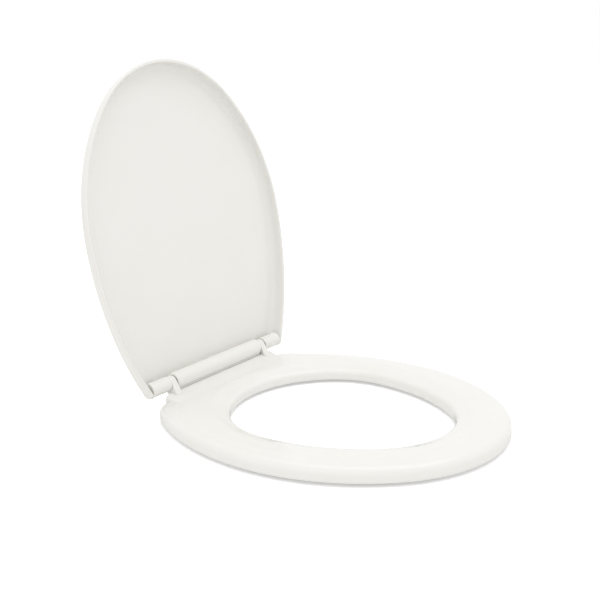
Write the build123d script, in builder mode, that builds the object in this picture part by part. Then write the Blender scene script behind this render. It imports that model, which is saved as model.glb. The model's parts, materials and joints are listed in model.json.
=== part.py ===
# Toilet seat: a moulded ring and a dished lid that turn on one barrel hinge with slow-close dampers.
# Millimetres. X runs along the hinge, the front of the seat points to -Y, Z is up.
# The origin lies on the top of the pan, midway between the two bolt slots of the hinge.
# The ring is down and the lid stands open.
from build123d import *
from math import asin, atan, cos, degrees, radians, sin, sqrt
import os

os.makedirs("parts", exist_ok=True)

# Hinge line: its height above the pan and its distance behind the bolt slots
hinge_height = 37.0
hinge_setback = 22.0
lid_open_angle = 100.9

# Clearances: turning fits, seated pieces, ends of blind bores, and gaps along the hinge line
running_clearance = 0.06
seat_clearance = 0.04
end_gap = 0.4
barrel_gap = 1.0
ear_gap = 0.8

# Ring outline, measured forward from the hinge line; a higher tip point makes a sharper tip
ring_width = 366.0
ring_front = 401.5
ring_widest = 184.7
ring_tip_point = 0.7926
ring_flank_radius = 284.0
ring_rear = 9.0
ring_corner_radius = 28.0

# Opening in the ring; the aspect is that of its back, from the edge to the widest line, by the half-width
hole_width = 244.5
hole_front = 337.7
hole_rear = 59.5
hole_rear_aspect = 0.9039
hole_front_point = 0.6995
hole_rear_point = 0.4549

# Ring section: a crowned top that falls to both edges over shares of the band, and ribs inside
ring_bottom = 4.4
ring_thickness = 17.6
ring_wall = 2.8
outer_drop = 2.2
outer_slope_share = 0.396
inner_drop = 6.0
inner_slope_share = 0.416
outer_round = 9.0
inner_round = 6.5
crest_round_share = 0.65
rib_count = 22
rib_thickness = 1.8
rib_recess = 3.0

# Raised back of the ring in front of the barrel, and the room under it for the feet
rise_height = 5.3
rise_reach = 27.0
rise_side_reach = 13.0
rise_sink = 0.15
rise_end_round = 6.0
foot_room_height = 14.0
foot_room_margin = 6.0

# Ears of the ring
ear_radius = 8.5
ear_width = 10.0
ear_foot_reach = 19.0
ear_edge_round = 1.5

# Lid outline, in its closed position, measured forward from the hinge line
lid_width = 356.4
lid_front = 395.7
lid_widest = 184.7
lid_tip_point = 0.7875
lid_flank_radius = 412.0
lid_middle_rear = 1.6

# Lid section, with heights measured up from the hinge line on the closed lid
lid_rim_height = -9.0
lid_crown_height = 20.5
lid_crown_rise = 10.6
lid_crown_centre = 60.0
lid_bend_radius = 6000.0
lid_panel = 3.0
lid_wall = 4.0
lid_back_round = 17.0
lid_end_round = 3.0
lid_heel_radius = 10.0
lid_inner_round = 8.0
lid_rim_round = 1.2

# Knuckles of the lid, each from an ear to the lid's wall, on a web under the panel
knuckle_radius = 9.5
web_width = 6.0

# Hinge base: barrel, pedestal and feet
barrel_radius = 11.0
barrel_half_length = 84.0
barrel_end_round = 3.0
pedestal_half_length = 82.0
pedestal_gap = 1.0
pedestal_thickness = 3.5
foot_width = 28.0
foot_front = 38.0
foot_back = 6.0
foot_thickness = 6.0
foot_corner = 10.0
bolt_spacing = 155.0
bolt_slot_width = 8.6
bolt_slot_length = 16.0
gasket_thickness = 2.0

# Dampers in the two ends of the barrel
damper_radius = 8.0
damper_length = 50.0
damper_wall = 1.8
damper_floor = 3.0
damper_cap = 5.0
damper_recess = 0.5
key_width = 3.0
key_height = 1.2
rotor_core_radius = 3.2
vane_thickness = 2.4
stop_thickness = 2.4
shaft_radius = 4.0
shaft_flats = 5.8
seal_section_radius = 0.9
journal_radius = 3.0
journal_length = 12.0
bush_wall = 2.0

# Buffers under the ring
buffer_length = 28.0
buffer_width = 13.0
buffer_edge_round = 1.2
buffer_peg_radius = 3.0
buffer_peg_length = 6.0
buffer_boss_radius = 8.0
buffer_front_reach = 285.0
buffer_rear_reach = 122.0

# Places along the hinge line, and heights, worked out from the sizes above
ear_inner = barrel_half_length + barrel_gap
ear_outer = ear_inner + ear_width
knuckle_inner = ear_outer + ear_gap
ring_top = ring_bottom + ring_thickness
hole_widest = hole_rear + hole_rear_aspect * hole_width / 2
ring_band = min((ring_width - hole_width) / 2, hole_rear - ring_rear, ring_front - hole_front)
outer_slope = outer_slope_share * ring_band
inner_slope = inner_slope_share * ring_band
crest_round = crest_round_share * ring_band
lid_rear = -knuckle_radius
lid_crown_radius = ((lid_width / 2) ** 2 + lid_crown_rise**2) / (2 * lid_crown_rise)
damper_outer = barrel_half_length - damper_recess
damper_inner = damper_outer - damper_length
cap_inner = damper_outer - damper_cap
rotor_inner = damper_inner + damper_floor + end_gap
damper_bore = damper_radius - damper_wall
seal_radius = shaft_radius + running_clearance + seal_section_radius
foot_depth = foot_front + foot_back
foot_places = [(side * bolt_spacing / 2, (foot_back - foot_front) / 2) for side in (-1, 1)]
slot_places = [(side * bolt_spacing / 2, -hinge_setback) for side in (-1, 1)]


def level(height):
    """A level plane with its local origin on the hinge line, seen from above."""
    return Plane((0, hinge_setback, height))


def hinge_section(x):
    """A plane across the hinge line that faces +X, with local x to the back and local y up."""
    return Plane((x, hinge_setback, hinge_height), x_dir=(0, 1, 0), z_dir=(1, 0, 0))


def hinge_end(side, distance):
    """A plane across the hinge line that faces outward, at a distance from the middle on one side."""
    return Plane((side * distance, hinge_setback, hinge_height), x_dir=(0, 1, 0), z_dir=(side, 0, 0))


def tip_radius_for(half_width, reach, point):
    """Radius of a round end's tip: the half-width at 0, and that of an ellipse's end at 1."""
    return half_width * (half_width / reach) ** point


def side_arc_radius(half_width, reach, tip_radius):
    """Radius of the side arc that runs tangent from the widest line into a tip arc."""
    return (half_width**2 + reach**2 - 2 * reach * tip_radius) / (2 * (half_width - tip_radius))


def side_x(half_width, widest, side_radius, reach):
    """Half-width of an outline where its side arc crosses a line at this reach from the hinge."""
    return half_width - side_radius + sqrt(side_radius**2 - (reach - widest) ** 2)


def egg_end(half_width, widest, end, tip_radius):
    """Half of a round end: a side arc from the widest line, then a tip arc to the centre line."""
    way = 1 if end > widest else -1
    reach = abs(end - widest)
    side_radius = side_arc_radius(half_width, reach, tip_radius)
    turn = degrees(atan((reach - tip_radius) / (side_radius - half_width)))
    CenterArc((half_width - side_radius, widest), side_radius, 0, way * turn)
    CenterArc((0, end - way * tip_radius), tip_radius, way * turn, way * (90 - turn))


def square_end(half_width, widest, end, flank_radius, corner_radius):
    """Half of a cut-off end: a flank arc, a corner that may be rounded, and a straight edge."""
    centre_x = half_width - flank_radius
    rise = end - corner_radius - widest
    turn = degrees(asin(rise / (flank_radius - corner_radius)))
    corner_x = centre_x + sqrt((flank_radius - corner_radius) ** 2 - rise**2)
    CenterArc((centre_x, widest), flank_radius, 0, turn)
    if corner_radius > 0:
        CenterArc((corner_x, end - corner_radius), corner_radius, turn, 90 - turn)
    Line((corner_x, end), (0, end))


# Tip radii of the outlines
ring_tip_radius = tip_radius_for(ring_width / 2, ring_front - ring_widest, ring_tip_point)
hole_front_radius = tip_radius_for(hole_width / 2, hole_front - hole_widest, hole_front_point)
hole_rear_radius = tip_radius_for(hole_width / 2, hole_widest - hole_rear, hole_rear_point)
lid_tip_radius = tip_radius_for(lid_width / 2, lid_front - lid_widest, lid_tip_point)


def ring_outline(grow):
    with BuildSketch() as outline:
        with BuildLine():
            half = ring_width / 2 + grow
            flank = ring_flank_radius + grow
            corner = ring_corner_radius + grow
            egg_end(half, -ring_widest, -ring_front - grow, ring_tip_radius + grow)
            square_end(half, -ring_widest, -ring_rear + grow, flank, corner)
            mirror(about=Plane.YZ)
        make_face()
    return outline.sketch


def hole_outline(grow):
    with BuildSketch() as outline:
        with BuildLine():
            half = hole_width / 2 + grow
            egg_end(half, -hole_widest, -hole_front - grow, hole_front_radius + grow)
            egg_end(half, -hole_widest, -hole_rear + grow, hole_rear_radius + grow)
            mirror(about=Plane.YZ)
        make_face()
    return outline.sketch


def lid_outline(grow, rear):
    with BuildSketch() as outline:
        with BuildLine():
            half = lid_width / 2 + grow
            egg_end(half, -lid_widest, -lid_front - grow, lid_tip_radius + grow)
            square_end(half, -lid_widest, -rear, lid_flank_radius + grow, 0)
            mirror(about=Plane.YZ)
        make_face()
    return outline.sketch


def edges_at(form, height):
    """The edges of a form that lie at one height."""
    return form.edges().filter_by_position(Axis.Z, height - 0.01, height + 0.01)


def ring_form(inset):
    """The ring's crowned form, or with an inset the space inside its wall."""
    with BuildPart() as form:
        with BuildSketch(level(ring_bottom)):
            add(ring_outline(-inset))
            add(hole_outline(inset), mode=Mode.SUBTRACT)
        extrude(amount=ring_thickness - inset)
        crest = form.faces().sort_by(Axis.Z)[-1]
        chamfer(crest.outer_wire().edges(), outer_slope - inset, outer_drop, reference=crest)
        crest = form.faces().sort_by(Axis.Z)[-1]
        chamfer(crest.inner_wires()[0].edges(), inner_slope - inset, inner_drop, reference=crest)
        fillet(form.faces().sort_by(Axis.Z)[-1].edges(), crest_round - inset)
        fillet(edges_at(form, ring_top - inset - outer_drop), outer_round - inset)
        fillet(edges_at(form, ring_top - inset - inner_drop), inner_round - inset)
    return form.part


def ear_form():
    """The right ear: a rounded plate about the hinge line that slopes forward to the ring's top."""
    with BuildPart() as form:
        with BuildSketch(hinge_section(ear_inner)):
            Circle(ear_radius)
            foot_length = ear_foot_reach - ring_rear
            foot_height = ring_top - foot_room_height
            with Locations((-ring_rear - foot_length / 2, ring_top - foot_height / 2 - hinge_height)):
                Rectangle(foot_length, foot_height)
            make_hull()
        extrude(amount=ear_width)
        fillet(form.faces().sort_by(Axis.X)[0].edges(), ear_edge_round)
        fillet(form.faces().sort_by(Axis.X)[-1].edges(), ear_edge_round)
    return form.part


def rise_form():
    """The raised back of the ring, from beside one ear to beside the other, curving up to the barrel."""
    foot = (-ring_rear - rise_reach, ring_top - rise_sink - hinge_height)
    peak = (-ring_rear, ring_top + rise_height - hinge_height)
    base = foot_room_height - hinge_height
    with BuildPart() as form:
        with BuildSketch(hinge_section(-ear_outer - rise_side_reach)):
            with BuildLine():
                TangentArc(foot, peak, tangent=(1, 0))
                Polyline(peak, (peak[0], base), (foot[0], base), foot)
            make_face()
        extrude(amount=2 * (ear_outer + rise_side_reach))
        fillet(form.edges().filter_by(GeomType.CIRCLE), rise_end_round)
    return form.part


def dome_form(inset):
    """The space under the lid's dome: an arc across the lid, swept along it about a line far below."""
    spread = degrees(asin(lid_width / lid_crown_radius))
    sweep = degrees(asin(2 * lid_front / lid_bend_radius))
    lean = radians(sweep)
    below = (0, -lid_crown_centre, lid_crown_height - lid_bend_radius)
    arc_centre = (0, lid_bend_radius - lid_crown_radius)
    floor = lid_bend_radius - 2 * lid_width
    with BuildPart() as form:
        with BuildSketch(Plane(below, x_dir=(1, 0, 0), z_dir=(0, -cos(lean), sin(lean)))):
            with BuildLine():
                crown = CenterArc(arc_centre, lid_crown_radius - inset, 90 - spread, 2 * spread)
                side = (crown @ 0).X
                Polyline(crown @ 1, (-side, floor), (side, floor), crown @ 0)
            make_face()
        revolve(axis=Axis(below, (1, 0, 0)), revolution_arc=2 * sweep)
    return form.part


def crowned(grow, rear, inset):
    """A prism of the lid's outline from its rim up to the dome."""
    with BuildPart() as form:
        with BuildSketch(Plane.XY.offset(lid_rim_height)):
            add(lid_outline(grow, rear))
        extrude(amount=lid_crown_height - lid_rim_height)
        add(dome_form(inset), mode=Mode.INTERSECT)
    return form.part


def long_edges(face):
    """The edges round a face of the lid, without those across its back end."""
    return face.edges().filter_by_position(Axis.Y, -lid_front, lid_rear)


def flat_shaft(grow):
    """Section of the drive end of a shaft: round with two flats."""
    with BuildSketch() as section:
        Circle(shaft_radius + grow)
        Rectangle(2 * (shaft_radius + grow), shaft_flats + 2 * grow, mode=Mode.INTERSECT)
    return section.sketch


def keyed_disc(grow):
    """Section of a damper: round with one key that stops it turning in the barrel."""
    with BuildSketch() as section:
        Circle(damper_radius + grow)
        with Locations((0, damper_radius)):
            Rectangle(key_width + 2 * grow, 2 * (key_height + grow))
    return section.sketch


# Buffer places: on the middle of the ring's band and along it, at two distances from the hinge line
hole_front_side = side_arc_radius(hole_width / 2, hole_front - hole_widest, hole_front_radius)
hole_rear_side = side_arc_radius(hole_width / 2, hole_widest - hole_rear, hole_rear_radius)
ring_front_side = side_arc_radius(ring_width / 2, ring_front - ring_widest, ring_tip_radius)
front_outer_x = side_x(ring_width / 2, ring_widest, ring_front_side, buffer_front_reach)
front_inner_x = side_x(hole_width / 2, hole_widest, hole_front_side, buffer_front_reach)
rear_outer_x = side_x(ring_width / 2, ring_widest, ring_flank_radius, buffer_rear_reach)
rear_inner_x = side_x(hole_width / 2, hole_widest, hole_rear_side, buffer_rear_reach)
front_x = (front_outer_x + front_inner_x) / 2
rear_x = (rear_outer_x + rear_inner_x) / 2
front_lean = degrees(asin((ring_widest - buffer_front_reach) / ring_front_side))
rear_lean = degrees(asin((ring_widest - buffer_rear_reach) / ring_flank_radius))
buffer_places = {
    "buffer_front_left": (-front_x, -buffer_front_reach, 90 - front_lean),
    "buffer_front_right": (front_x, -buffer_front_reach, 90 + front_lean),
    "buffer_rear_left": (-rear_x, -buffer_rear_reach, 90 - rear_lean),
    "buffer_rear_right": (rear_x, -buffer_rear_reach, 90 + rear_lean),
}
buffer_points = [(x, y) for x, y, lean in buffer_places.values()]

# Hollow of the ring: the space inside its wall, without the ribs and the bosses for the buffers
with BuildPart() as ring_hollow:
    add(ring_form(ring_wall))
    with BuildSketch(level(ring_bottom + rib_recess)):
        with Locations((0, -hole_widest)):
            with PolarLocations(0, rib_count // 2, angular_range=180):
                Rectangle(2 * ring_front, rib_thickness)
    extrude(amount=ring_thickness, mode=Mode.SUBTRACT)
    with BuildSketch(level(ring_bottom)):
        with Locations(*buffer_points):
            Circle(buffer_boss_radius)
    extrude(amount=ring_thickness, mode=Mode.SUBTRACT)

# Ring
right_ear = ear_form()
left_ear = mirror(right_ear, about=Plane.YZ)
with BuildPart() as seat_ring:
    add(ring_form(0))
    add([rise_form(), left_ear, right_ear])
    add(ring_hollow.part, mode=Mode.SUBTRACT)
    with BuildSketch(level(0)):
        room_depth = foot_front + foot_room_margin
        with Locations((0, -room_depth / 2)):
            Rectangle(bolt_spacing + foot_width + foot_room_margin, room_depth)
    extrude(amount=foot_room_height, mode=Mode.SUBTRACT)
    with BuildSketch(level(ring_bottom)):
        with Locations(*buffer_points):
            Circle(buffer_peg_radius + seat_clearance)
    extrude(amount=buffer_peg_length + end_gap, mode=Mode.SUBTRACT)
    with BuildSketch(hinge_end(-1, ear_inner)):
        add(flat_shaft(seat_clearance))
    extrude(amount=ear_width, mode=Mode.SUBTRACT)
    with BuildSketch(hinge_end(1, ear_inner)):
        Circle(shaft_radius + running_clearance + bush_wall + seat_clearance)
    extrude(amount=ear_width, mode=Mode.SUBTRACT)
seat_ring.part.label = "seat_ring"
export_step(seat_ring.part, "parts/seat_ring.step")

# Dish of the lid: the space inside its rim and under its panel, open at the back
with BuildPart() as lid_dish:
    add(crowned(-lid_wall, 2 * lid_rear, lid_panel))
    fillet(long_edges(lid_dish.faces().sort_by(Axis.Z)[-1]), lid_inner_round)

# Lid, modelled closed about the hinge line, with its back cut short between the knuckles
with BuildPart() as closed_lid:
    add(crowned(0, lid_rear, 0))
    fillet(long_edges(closed_lid.faces().sort_by(Axis.Z)[-1]), lid_back_round)
    fillet(closed_lid.faces().sort_by(Axis.Z)[-1].edges().sort_by(Axis.Y)[-1], lid_end_round)
    add(lid_dish.part, mode=Mode.SUBTRACT)
    fillet(closed_lid.faces().sort_by(Axis.Z)[0].edges(), lid_rim_round)
    with BuildSketch(Plane.YZ.offset(-lid_width)):
        with Locations((lid_heel_radius, -lid_heel_radius)):
            Rectangle(2 * lid_heel_radius, 2 * lid_heel_radius)
        Circle(lid_heel_radius, mode=Mode.SUBTRACT)
    extrude(amount=2 * lid_width, mode=Mode.SUBTRACT)
    with BuildSketch(Plane.XY.offset(lid_rim_height)):
        with Locations((0, -(lid_middle_rear + lid_rear) / 2)):
            Rectangle(2 * knuckle_inner, lid_middle_rear - lid_rear)
    extrude(amount=lid_crown_height - lid_rim_height, mode=Mode.SUBTRACT)
    knuckle_outer = side_x(lid_width / 2, lid_widest, lid_flank_radius, lid_rear) - lid_wall / 2
    web_outer = knuckle_inner + web_width
    web_fall = lid_crown_radius - sqrt(lid_crown_radius**2 - web_outer**2)
    web_height = lid_crown_height - web_fall - lid_panel / 2
    for side in (-1, 1):
        inner_end = Plane((side * knuckle_inner, 0, 0), x_dir=(0, 1, 0), z_dir=(side, 0, 0))
        with BuildSketch(inner_end):
            Circle(knuckle_radius)
        extrude(amount=knuckle_outer - knuckle_inner)
        with BuildSketch(inner_end):
            with Locations((0, side * web_height / 2)):
                Rectangle(2 * (knuckle_radius - lid_end_round), web_height)
        extrude(amount=web_width)

# Lid at its open angle, with the bores for the two shafts
with BuildPart() as lid:
    with Locations(Location((0, hinge_setback, hinge_height), (-lid_open_angle, 0, 0))):
        add(closed_lid.part)
    with BuildSketch(hinge_end(1, knuckle_inner)):
        add(flat_shaft(seat_clearance))
    extrude(amount=journal_length + end_gap, mode=Mode.SUBTRACT)
    with BuildSketch(hinge_end(-1, knuckle_inner)):
        Circle(journal_radius + running_clearance + bush_wall + seat_clearance)
    extrude(amount=journal_length + end_gap, mode=Mode.SUBTRACT)
lid.part.label = "lid"
export_step(lid.part, "parts/lid.step")

# Hinge base
with BuildPart() as hinge_base:
    with BuildSketch(hinge_section(-barrel_half_length)):
        Circle(barrel_radius)
    extrude(amount=2 * barrel_half_length)
    fillet(hinge_base.edges().filter_by(GeomType.CIRCLE), barrel_end_round)
    with BuildSketch(level(gasket_thickness)):
        with Locations((0, pedestal_gap + pedestal_thickness / 2 - ring_rear)):
            Rectangle(2 * pedestal_half_length, pedestal_thickness)
    extrude(amount=hinge_height - gasket_thickness)
    with BuildSketch(level(gasket_thickness)):
        with Locations(*foot_places):
            RectangleRounded(foot_width, foot_depth, foot_corner)
    extrude(amount=foot_thickness)
    with BuildSketch(level(gasket_thickness)):
        with Locations(*slot_places):
            SlotOverall(bolt_slot_length, bolt_slot_width)
    extrude(amount=foot_thickness, mode=Mode.SUBTRACT)
    for side in (-1, 1):
        with BuildSketch(hinge_end(side, damper_inner - end_gap)):
            add(keyed_disc(seat_clearance))
        extrude(amount=damper_length + damper_recess + end_gap, mode=Mode.SUBTRACT)
hinge_base.part.label = "hinge_base"
export_step(hinge_base.part, "parts/hinge_base.step")

# Gaskets under the feet
for name, foot_place, slot_place in zip(("gasket_left", "gasket_right"), foot_places, slot_places):
    with BuildPart() as gasket:
        with BuildSketch(level(0)):
            with Locations(foot_place):
                RectangleRounded(foot_width, foot_depth, foot_corner)
            with Locations(slot_place):
                SlotOverall(bolt_slot_length, bolt_slot_width, mode=Mode.SUBTRACT)
        extrude(amount=gasket_thickness)
    gasket.part.label = name
    export_step(gasket.part, f"parts/{name}.step")

# Dampers: the seat's in the left end of the barrel, the lid's in the right end
for side, name in ((-1, "seat_damper"), (1, "lid_damper")):
    with BuildPart() as body:
        with BuildSketch(hinge_end(side, damper_inner)):
            add(keyed_disc(0))
        extrude(amount=damper_length - damper_cap)
        with BuildSketch(hinge_end(side, damper_inner + damper_floor)):
            Circle(damper_bore)
            stop_depth = damper_bore - rotor_core_radius - running_clearance
            with Locations((stop_depth / 2 - damper_bore, 0)):
                Rectangle(stop_depth, stop_thickness, mode=Mode.SUBTRACT)
        extrude(amount=damper_length - damper_cap - damper_floor, mode=Mode.SUBTRACT)
    body.part.label = f"{name}_body"
    export_step(body.part, f"parts/{name}_body.step")

    with BuildPart() as cap:
        with BuildSketch(hinge_end(side, cap_inner)):
            add(keyed_disc(0))
            Circle(shaft_radius + running_clearance, mode=Mode.SUBTRACT)
        extrude(amount=damper_cap)
        with BuildSketch(hinge_end(side, cap_inner)):
            Circle(seal_radius + seal_section_radius + seat_clearance)
        extrude(amount=2 * seal_section_radius + seat_clearance, mode=Mode.SUBTRACT)
    cap.part.label = f"{name}_cap"
    export_step(cap.part, f"parts/{name}_cap.step")

    with BuildPart(hinge_end(side, cap_inner + seal_section_radius)) as seal:
        Torus(seal_radius, seal_section_radius)
    seal.part.label = f"{name}_seal"
    export_step(seal.part, f"parts/{name}_seal.step")

    with BuildPart() as rotor:
        with BuildSketch(hinge_end(side, rotor_inner)):
            Circle(rotor_core_radius)
        extrude(amount=cap_inner - rotor_inner)
        with BuildSketch(hinge_end(side, rotor_inner)):
            with Locations((damper_bore / 2, 0)):
                Rectangle(damper_bore, vane_thickness)
            Circle(damper_bore - running_clearance, mode=Mode.INTERSECT)
        extrude(amount=cap_inner - end_gap - rotor_inner)
        shaft_end = ear_inner if side < 0 else knuckle_inner
        with BuildSketch(hinge_end(side, cap_inner)):
            Circle(shaft_radius)
        extrude(amount=shaft_end - cap_inner)
        drive_length = ear_width if side < 0 else journal_length
        with BuildSketch(hinge_end(side, shaft_end)):
            add(flat_shaft(0))
        extrude(amount=drive_length)
        if side < 0:
            with BuildSketch(hinge_end(side, ear_outer)):
                Circle(journal_radius)
            extrude(amount=ear_gap + journal_length)
    rotor.part.label = f"{name}_rotor"
    export_step(rotor.part, f"parts/{name}_rotor.step")

# Bushes: the lid's left knuckle on the seat rotor's journal, the ring's right ear on the lid rotor's shaft
for name, plane, radius, length in (
    ("knuckle_bush", hinge_end(-1, knuckle_inner), journal_radius, journal_length),
    ("ear_bush", hinge_end(1, ear_inner), shaft_radius, ear_width),
):
    with BuildPart() as bush:
        with BuildSketch(plane):
            Circle(radius + running_clearance + bush_wall)
            Circle(radius + running_clearance, mode=Mode.SUBTRACT)
        extrude(amount=length)
    bush.part.label = name
    export_step(bush.part, f"parts/{name}.step")

# Buffers under the ring
for name, (x, y, lean) in buffer_places.items():
    with BuildPart() as buffer:
        with BuildSketch(level(0)):
            with Locations((x, y)):
                SlotOverall(buffer_length, buffer_width, rotation=lean)
        extrude(amount=ring_bottom)
        fillet(buffer.faces().sort_by(Axis.Z)[0].edges(), buffer_edge_round)
        with BuildSketch(level(ring_bottom)):
            with Locations((x, y)):
                Circle(buffer_peg_radius)
        extrude(amount=buffer_peg_length)
    buffer.part.label = name
    export_step(buffer.part, f"parts/{name}.step")
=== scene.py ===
import json
from math import cos, radians, sin

import bpy
from mathutils import Matrix, Vector

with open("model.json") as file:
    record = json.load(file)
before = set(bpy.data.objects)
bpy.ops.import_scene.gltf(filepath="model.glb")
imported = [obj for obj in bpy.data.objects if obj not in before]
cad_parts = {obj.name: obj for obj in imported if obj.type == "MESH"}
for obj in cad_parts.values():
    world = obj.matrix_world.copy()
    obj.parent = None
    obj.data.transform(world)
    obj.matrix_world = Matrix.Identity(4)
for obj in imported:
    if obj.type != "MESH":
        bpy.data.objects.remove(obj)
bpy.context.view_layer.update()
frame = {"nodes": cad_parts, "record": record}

# Camera: the place, turn and lens that put the part where the photograph has it
CAMERA_PLACE = Vector((-0.91115, -0.76972, 0.43916))
CAMERA_AZIMUTH = radians(-54.328)
CAMERA_ELEVATION = radians(14.834)
CAMERA_ROLL = radians(-1.142)
CAMERA_LENS = 57.485
CAMERA_NEAR = 0.01
SENSOR_WIDTH = 36.0

# World: the light that it gives, and its level where it is seen or mirrored
WORLD_LEVEL = 0.89
SEEN_WHITE = 1.0
WORLD_COLOUR = (1.0, 1.0, 1.0, 1.0)

# Square lamps: name, place and width in metres, power in watts
LAMP_TARGET = Vector((0.0, -0.12, 0.12))
LAMPS = (
    ("top", Vector((0.2, -0.4, 2.6)), 2.4, 14.0),
    ("left", Vector((-2.2, -0.7, 1.3)), 2.0, 3.0),
)

# Floor: its width, its place just under the pads, the light added for the camera, and its colour
FLOOR_SIZE = 30.0
FLOOR_HEIGHT = -0.0004
FLOOR_LIFT = 0.42
FLOOR_COLOUR = (0.93, 0.93, 0.92, 1.0)

# Painted shade in narrow gaps, a darker colour laid in by ambient occlusion: how far a gap's walls
# are looked for, and the openness from full painted shade to none
CREVICE_SHADE_COLOUR = (0.36, 0.35, 0.31, 1.0)
CREVICE_SHADE_AMOUNT = 0.75
CREVICE_SHADE_REACH = 0.01
CREVICE_SHADE_OPENNESS = (0.05, 0.45)
CREVICE_SHADE_SAMPLES = 8

# Sockets of a Mix node that blends two colours
MIX_FACTOR, MIX_FIRST, MIX_SECOND, MIX_RESULT = 0, 6, 7, 2

# The part of a noise's values that is used for roughness, and for blending two tints
NOISE_RANGE = (0.3, 0.7)
BLEND_RANGE = (0.35, 0.65)
EVEN_NOISE = 0.5
ROUGH_NOISE = 0.6

# Surface constants
GLOSS_IOR = 1.5
ACETAL_IOR = 1.48
RUBBER_IOR = 1.5
COAT_ROUGHNESS = 0.06
RUBBER_SHEEN = 0.08

scene = bpy.context.scene
scene.view_settings.view_transform = "Standard"


def node(tree, kind, **settings):
    """A new node with its own settings."""
    made = tree.nodes.new(kind)
    for name, value in settings.items():
        setattr(made, name, value)
    return made


def noise(tree, coords, waves, detail, roughness=EVEN_NOISE):
    """Noise in the part's own coordinates, with so many waves per metre."""
    made = node(tree, "ShaderNodeTexNoise")
    made.inputs["Scale"].default_value = waves
    made.inputs["Detail"].default_value = detail
    made.inputs["Roughness"].default_value = roughness
    tree.links.new(coords, made.inputs["Vector"])
    return made.outputs["Fac"]


def spread(tree, value, target, source=NOISE_RANGE):
    """Maps a value from one range to another."""
    made = node(tree, "ShaderNodeMapRange")
    made.inputs["From Min"].default_value, made.inputs["From Max"].default_value = source
    made.inputs["To Min"].default_value, made.inputs["To Max"].default_value = target
    tree.links.new(value, made.inputs["Value"])
    return made.outputs["Result"]


def two_tone(tree, value, tints):
    """Blends two close colours by a noise value."""
    made = node(tree, "ShaderNodeValToRGB")
    for stop, position, tint in zip(made.color_ramp.elements, BLEND_RANGE, tints):
        stop.position = position
        stop.color = (*tint, 1.0)
    tree.links.new(value, made.inputs["Fac"])
    return made.outputs["Color"]


def bump(tree, height, strength, distance, normal=None):
    """Bends the shading by a height, on top of another bump if one is given."""
    made = node(tree, "ShaderNodeBump")
    made.inputs["Strength"].default_value = strength
    made.inputs["Distance"].default_value = distance
    tree.links.new(height, made.inputs["Height"])
    if normal is not None:
        tree.links.new(normal, made.inputs["Normal"])
    return made.outputs["Normal"]


def painted_crevice_shade(tree, colour):
    """Paints shade over a colour: a darker colour, only deep in the narrow gaps between the pieces,
    by ambient occlusion.
    """
    openness = node(tree, "ShaderNodeAmbientOcclusion", samples=CREVICE_SHADE_SAMPLES)
    openness.inputs["Distance"].default_value = CREVICE_SHADE_REACH
    amount = spread(tree, openness.outputs["AO"], (CREVICE_SHADE_AMOUNT, 0.0), CREVICE_SHADE_OPENNESS)
    made = node(tree, "ShaderNodeMix", data_type="RGBA")
    made.inputs[MIX_SECOND].default_value = CREVICE_SHADE_COLOUR
    tree.links.new(amount, made.inputs[MIX_FACTOR])
    tree.links.new(colour, made.inputs[MIX_FIRST])
    return made.outputs[MIX_RESULT]


def start(name):
    """A new material with its nodes and shader, and the part's coordinates in metres."""
    made = bpy.data.materials.new(name)
    made.use_nodes = True
    tree = made.node_tree
    shader = tree.nodes["Principled BSDF"]
    coords = node(tree, "ShaderNodeTexCoord").outputs["Object"]
    return made, tree, shader, coords


def moulded(name, tints, roughness, peel, coat):
    """Glossy plastic: cloudy tint, uneven polish, faint orange peel over a slow waviness, and
    painted shade that darkens the colour in narrow gaps.
    """
    made, tree, shader, coords = start(name)
    tint = noise(tree, coords, waves=14.0, detail=3.0)
    unshaded_tint = two_tone(tree, tint, tints)
    # The base colour is darkened deep in narrow gaps by ambient occlusion: painted shade
    tree.links.new(painted_crevice_shade(tree, unshaded_tint), shader.inputs["Base Color"])
    polish = noise(tree, coords, waves=55.0, detail=5.0, roughness=ROUGH_NOISE)
    tree.links.new(spread(tree, polish, roughness), shader.inputs["Roughness"])
    slow = noise(tree, coords, waves=38.0, detail=1.0)
    fine = noise(tree, coords, waves=420.0, detail=2.0)
    wavy = bump(tree, slow, strength=0.12, distance=0.0006)
    peeled = bump(tree, fine, strength=peel, distance=0.00006, normal=wavy)
    tree.links.new(peeled, shader.inputs["Normal"])
    shader.inputs["IOR"].default_value = GLOSS_IOR
    shader.inputs["Coat Weight"].default_value = coat
    shader.inputs["Coat Roughness"].default_value = COAT_ROUGHNESS
    return made


def acetal(name, tints, roughness):
    """Matte engineering plastic with a fine spark-eroded grain."""
    made, tree, shader, coords = start(name)
    tint = noise(tree, coords, waves=60.0, detail=3.0)
    tree.links.new(two_tone(tree, tint, tints), shader.inputs["Base Color"])
    polish = noise(tree, coords, waves=300.0, detail=4.0)
    tree.links.new(spread(tree, polish, roughness), shader.inputs["Roughness"])
    grain = noise(tree, coords, waves=2600.0, detail=3.0)
    rough = bump(tree, grain, strength=0.25, distance=0.00004)
    tree.links.new(rough, shader.inputs["Normal"])
    shader.inputs["IOR"].default_value = ACETAL_IOR
    return made


def soft_rubber(name, tints, roughness=(0.55, 0.78)):
    """Moulded rubber: matte, a little cloudy, with a fine grain."""
    made, tree, shader, coords = start(name)
    tint = noise(tree, coords, waves=90.0, detail=4.0)
    tree.links.new(two_tone(tree, tint, tints), shader.inputs["Base Color"])
    polish = noise(tree, coords, waves=220.0, detail=4.0)
    tree.links.new(spread(tree, polish, roughness), shader.inputs["Roughness"])
    grain = noise(tree, coords, waves=1500.0, detail=4.0, roughness=ROUGH_NOISE)
    rough = bump(tree, grain, strength=0.35, distance=0.00006)
    tree.links.new(rough, shader.inputs["Normal"])
    shader.inputs["IOR"].default_value = RUBBER_IOR
    shader.inputs["Sheen Weight"].default_value = RUBBER_SHEEN
    return made


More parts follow.
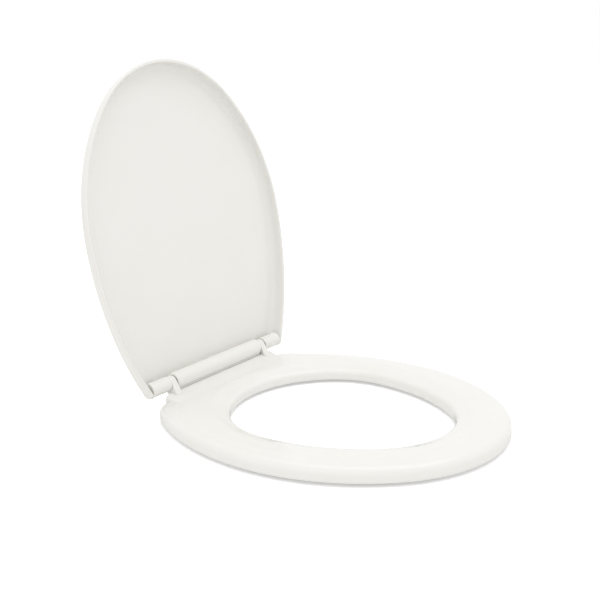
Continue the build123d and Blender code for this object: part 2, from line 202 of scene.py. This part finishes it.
# One material for each slot of the record
BY_SLOT = {
    "ring_plastic": moulded(
        "ring_gloss",
        tints=((0.862, 0.853, 0.815), (0.872, 0.864, 0.83)),
        roughness=(0.13, 0.21),
        peel=0.10,
        coat=0.25,
    ),
    "lid_plastic": moulded(
        "lid_gloss",
        tints=((0.855, 0.845, 0.808), (0.866, 0.857, 0.823)),
        roughness=(0.14, 0.23),
        peel=0.10,
        coat=0.2,
    ),
    "hinge_plastic": moulded(
        "hinge_gloss",
        tints=((0.858, 0.849, 0.812), (0.868, 0.86, 0.826)),
        roughness=(0.17, 0.27),
        peel=0.12,
        coat=0.15,
    ),
    "damper_plastic": acetal(
        "damper_acetal",
        tints=((0.56, 0.56, 0.54), (0.61, 0.61, 0.59)),
        roughness=(0.38, 0.55),
    ),
    "seal_rubber": soft_rubber(
        "seal_rubber",
        tints=((0.012, 0.012, 0.012), (0.02, 0.02, 0.02)),
    ),
    "buffer_rubber": soft_rubber(
        "buffer_rubber",
        tints=((0.72, 0.715, 0.69), (0.77, 0.765, 0.74)),
    ),
    "gasket_rubber": soft_rubber(
        "gasket_rubber",
        tints=((0.68, 0.68, 0.66), (0.74, 0.74, 0.72)),
    ),
}
for part in frame["record"]["subparts"]:
    mesh = frame["nodes"][part["node"]].data
    for index in range(len(mesh.materials)):
        mesh.materials[index] = BY_SLOT[part["material_slot"]]

# Floor: white, a little lifted for the camera so that it stays white, and it keeps the shadow
bpy.ops.mesh.primitive_plane_add(size=FLOOR_SIZE, location=(0.0, 0.0, FLOOR_HEIGHT))
floor = bpy.context.object
floor.name = "floor"
paper = bpy.data.materials.new("floor_paper")
paper.use_nodes = True
tree = paper.node_tree
tree.nodes.clear()
diffuse = node(tree, "ShaderNodeBsdfDiffuse")
diffuse.inputs["Color"].default_value = FLOOR_COLOUR
lift = node(tree, "ShaderNodeEmission")
path = node(tree, "ShaderNodeLightPath")
seen = node(tree, "ShaderNodeMath", operation="MULTIPLY")
seen.inputs[1].default_value = FLOOR_LIFT
total = node(tree, "ShaderNodeAddShader")
surface = node(tree, "ShaderNodeOutputMaterial")
tree.links.new(path.outputs["Is Camera Ray"], seen.inputs[0])
tree.links.new(seen.outputs[0], lift.inputs["Strength"])
tree.links.new(diffuse.outputs[0], total.inputs[0])
tree.links.new(lift.outputs[0], total.inputs[1])
tree.links.new(total.outputs[0], surface.inputs["Surface"])
floor.data.materials.append(paper)

# World: white where it is seen or mirrored, and a plain level of light elsewhere
world = bpy.data.worlds.new("studio")
scene.world = world
world.use_nodes = True
tree = world.node_tree
tree.nodes.clear()
path = node(tree, "ShaderNodeLightPath")
either = node(tree, "ShaderNodeMath", operation="MAXIMUM")
any_seen = node(tree, "ShaderNodeMath", operation="MAXIMUM")
level = node(tree, "ShaderNodeMapRange")
level.inputs["To Min"].default_value = WORLD_LEVEL
level.inputs["To Max"].default_value = SEEN_WHITE
sky = node(tree, "ShaderNodeBackground")
sky.inputs["Color"].default_value = WORLD_COLOUR
output = node(tree, "ShaderNodeOutputWorld")
tree.links.new(path.outputs["Is Camera Ray"], either.inputs[0])
tree.links.new(path.outputs["Is Glossy Ray"], either.inputs[1])
tree.links.new(either.outputs[0], any_seen.inputs[0])
tree.links.new(path.outputs["Is Transmission Ray"], any_seen.inputs[1])
tree.links.new(any_seen.outputs[0], level.inputs["Value"])
tree.links.new(level.outputs["Result"], sky.inputs["Strength"])
tree.links.new(sky.outputs[0], output.inputs["Surface"])

# Lamps
for name, place, size, power in LAMPS:
    lamp = bpy.data.lights.new(name, "AREA")
    lamp.shape = "SQUARE"
    lamp.size = size
    lamp.energy = power
    holder = bpy.data.objects.new(name, lamp)
    holder.location = place
    holder.rotation_euler = (LAMP_TARGET - place).to_track_quat("-Z", "Y").to_euler()
    scene.collection.objects.link(holder)

# Camera
lens = bpy.data.cameras.new("photo_camera")
lens.sensor_width = SENSOR_WIDTH
lens.lens = CAMERA_LENS
lens.clip_start = CAMERA_NEAR
camera = bpy.data.objects.new("photo_camera", lens)
scene.collection.objects.link(camera)
back = Vector(
    (
        sin(CAMERA_AZIMUTH) * cos(CAMERA_ELEVATION),
        -cos(CAMERA_AZIMUTH) * cos(CAMERA_ELEVATION),
        sin(CAMERA_ELEVATION),
    )
)
level_right = Vector((cos(CAMERA_AZIMUTH), sin(CAMERA_AZIMUTH), 0.0))
level_up = back.cross(level_right)
right = cos(CAMERA_ROLL) * level_right + sin(CAMERA_ROLL) * level_up
up = cos(CAMERA_ROLL) * level_up - sin(CAMERA_ROLL) * level_right
turn = Matrix((right, up, back)).transposed().to_4x4()
camera.matrix_world = Matrix.Translation(CAMERA_PLACE) @ turn
scene.camera = camera
